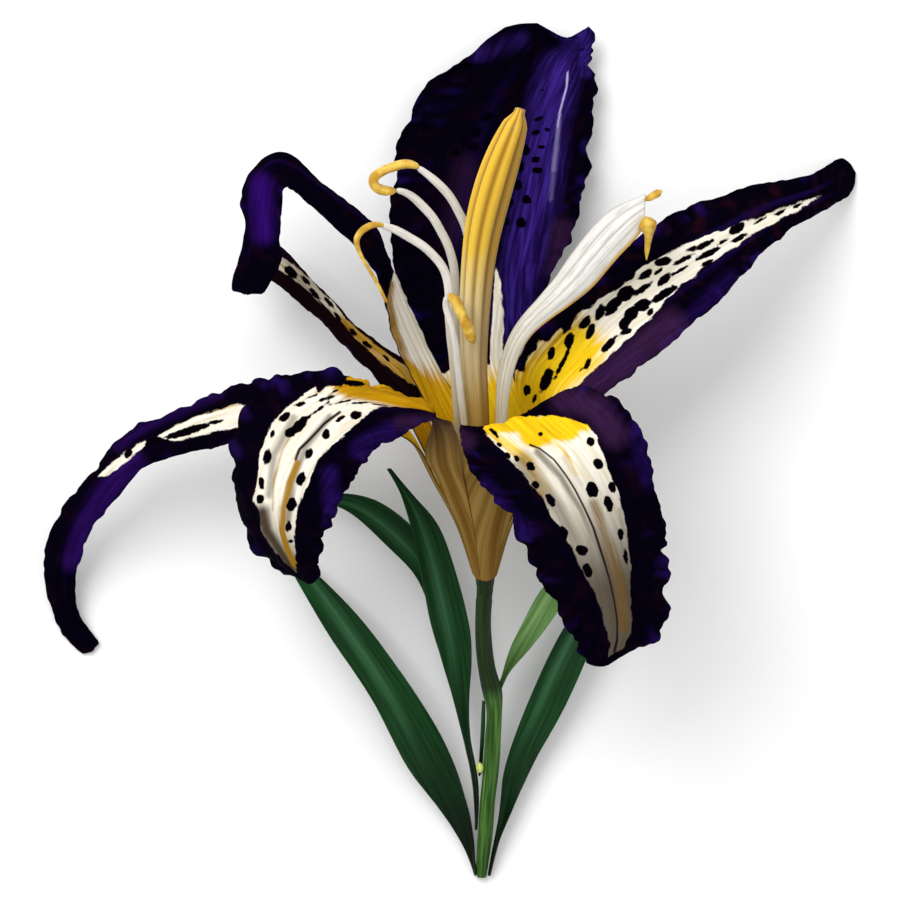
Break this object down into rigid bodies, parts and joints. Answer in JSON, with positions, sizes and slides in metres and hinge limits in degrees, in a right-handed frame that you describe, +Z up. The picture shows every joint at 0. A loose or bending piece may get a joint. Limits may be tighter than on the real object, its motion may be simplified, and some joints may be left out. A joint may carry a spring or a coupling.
{
  "type": "tiger lily flower",
  "caption": "Cut lily bloom lying on its back, with dark ruffled spotted tepals, pale stamens with yellow anthers, a fluted yellow pistil, a short stem and narrow leaves.",
  "frame": {"origin": "on the surface the flower lies on, under the centre of its bounding box", "axes": "+Y from the cut end of the stem towards the upper tepal, +Z up out of the surface, so the face shown in the picture looks up"},
  "size_m": [0.1674, 0.1752, 0.0635],
  "materials": {
    "dark_tepal": "satin",
    "pale_filament": "satin",
    "yellow_anther": "matte",
    "cream_pistil": "satin",
    "green_stem": "satin",
    "green_leaf": "satin",
    "light_shoot": "satin"
  },
  "bodies": {
    "root": {"tepal_top": "dark_tepal", "tepal_right": "dark_tepal", "tepal_lower_right": "dark_tepal", "tepal_lower_left": "dark_tepal", "tepal_far_left": "dark_tepal", "tepal_upper_left_spotted": "dark_tepal", "tepal_upper_left_arching": "dark_tepal", "receptacle": "green_stem", "pistil": "cream_pistil", "filament_upper": "pale_filament", "filament_middle": "pale_filament", "filament_lower": "pale_filament", "filament_front": "pale_filament", "filament_right_sheet": "pale_filament", "anther_curled": "yellow_anther", "anther_hanging": "yellow_anther", "anther_front": "yellow_anther", "anther_right_knob": "yellow_anther", "anther_right_drooping": "yellow_anther", "stem": "green_stem", "axillary_bud": "light_shoot", "side_shoot": "light_shoot", "leaf_lower_left": "green_leaf", "leaf_centre_left": "green_leaf", "leaf_behind": "green_leaf", "leaf_sliver": "green_leaf", "leaf_lower_right": "green_leaf"}
  },
  "joints": []
}
